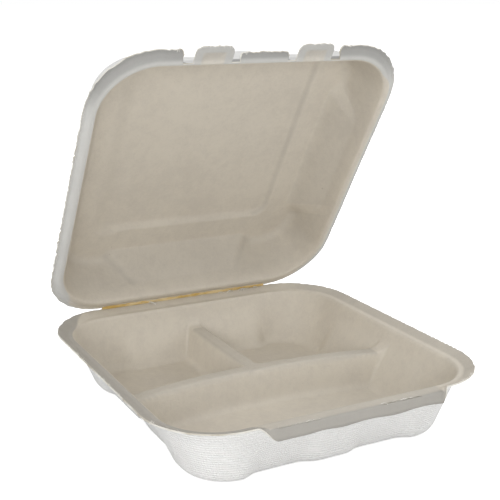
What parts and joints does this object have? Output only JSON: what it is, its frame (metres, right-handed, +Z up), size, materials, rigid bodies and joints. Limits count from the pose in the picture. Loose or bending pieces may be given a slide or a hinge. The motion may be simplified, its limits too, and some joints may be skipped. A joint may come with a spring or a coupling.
{
  "type": "bagasse clamshell container",
  "caption": "Moulded pulp food container with a divided tray, a domed hinged lid and tuck-in tongues.",
  "frame": {"origin": "bottom centre of the box around the opened container, on the surface that it stands on; the tray's own middle is 8 mm in front of it", "axes": "+Z up, +Y towards the hinge at the back, +X along the hinge, the lock lip at -Y; lid at rest leans open over the tray"},
  "size_m": [0.229, 0.2476, 0.2409],
  "materials": {
    "pulp": "matte"
  },
  "bodies": {
    "tray": {"base_tray": "pulp"},
    "lid": {"lid": "pulp"}
  },
  "joints": [
    {"name": "lid_hinge", "type": "hinge", "parent": "tray", "child": "lid", "pos_m": [0, 0.10653, 0.0427], "axis": [-1, 0, 0], "range_deg": [-59, 121]}
  ]
}
